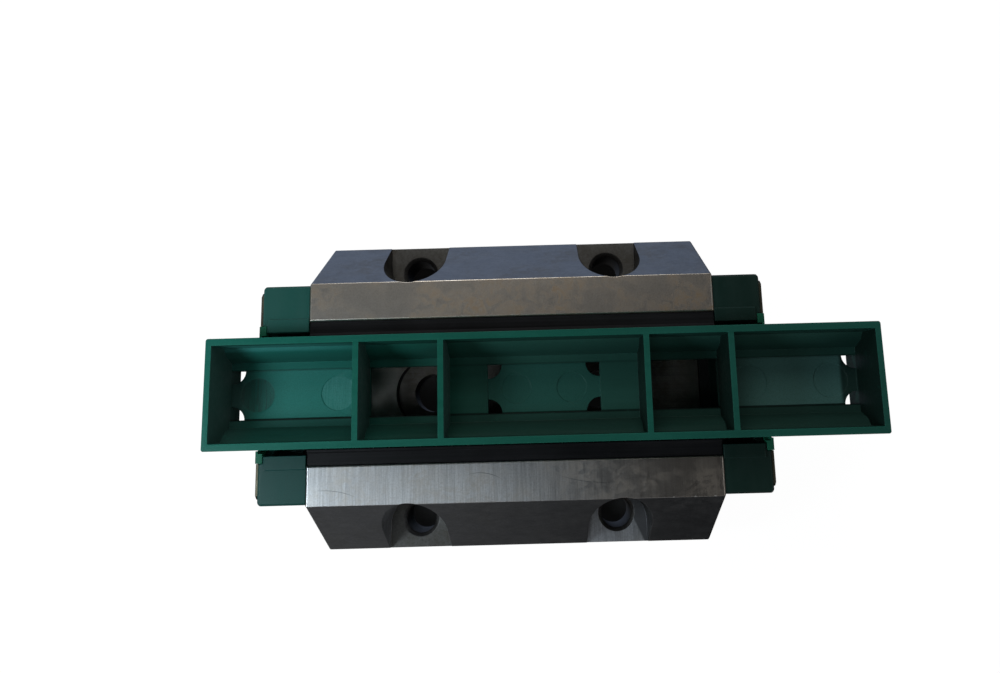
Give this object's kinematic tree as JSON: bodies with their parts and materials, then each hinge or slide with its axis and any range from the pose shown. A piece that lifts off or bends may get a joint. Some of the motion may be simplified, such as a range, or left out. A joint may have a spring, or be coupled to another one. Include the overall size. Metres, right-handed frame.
{
  "type": "linear guide carriage",
  "caption": "Flanged linear roller guide carriage, long type, seen from its rail side with a removable moulded transport rail inserted.",
  "frame": {"origin": "centre of the carriage's machined mounting face, in line with the middle of the flange hole pattern", "axes": "+X along the rail, towards the end where the transport rail stands out further; +Y across the rail; +Z from the mounting face towards the rail's base"},
  "size_m": [0.1404, 0.07, 0.036],
  "materials": {
    "ground_steel": "ground, faintly tarnished",
    "end_plastic": "satin moulded",
    "rail_plastic": "semi-gloss moulded",
    "guide_plastic": "satin moulded",
    "wiper_green": "soft matt",
    "wiper_backing": "olive passivated sheet",
    "seal_black": "matt",
    "screw_steel": "blackened",
    "roller_steel": "polished"
  },
  "bodies": {
    "carriage": {"saddle_plate": "ground_steel", "end_piece_left": "end_plastic", "end_piece_right": "end_plastic", "return_guide_left": "guide_plastic", "return_guide_right": "guide_plastic", "end_wiper_left": "wiper_green", "end_wiper_right": "wiper_green", "wiper_plate_left": "wiper_backing", "wiper_plate_right": "wiper_backing", "end_screws_left": "screw_steel", "end_screws_right": "screw_steel", "side_plugs_left": "screw_steel", "side_plugs_right": "screw_steel", "lower_seal_front": "seal_black", "lower_seal_rear": "seal_black", "upper_seal_front": "seal_black", "upper_seal_rear": "seal_black", "roller_strip_front": "guide_plastic", "roller_strip_rear": "guide_plastic", "load_rollers_low_front": "roller_steel", "load_rollers_low_rear": "roller_steel", "load_rollers_high_front": "roller_steel", "load_rollers_high_rear": "roller_steel", "return_rollers_low_front": "roller_steel", "return_rollers_low_rear": "roller_steel", "return_rollers_high_front": "roller_steel", "return_rollers_high_rear": "roller_steel", "return_tube_low_front": "guide_plastic", "return_tube_low_rear": "guide_plastic", "return_tube_high_front": "guide_plastic", "return_tube_high_rear": "guide_plastic"},
    "transport_rail": {"dummy_rail": "rail_plastic"}
  },
  "joints": [
    {"name": "transport_rail_slide", "type": "slide", "parent": "carriage", "child": "transport_rail", "axis": [1, 0, 0], "range_m": [-0.134, 0.121]}
  ]
}
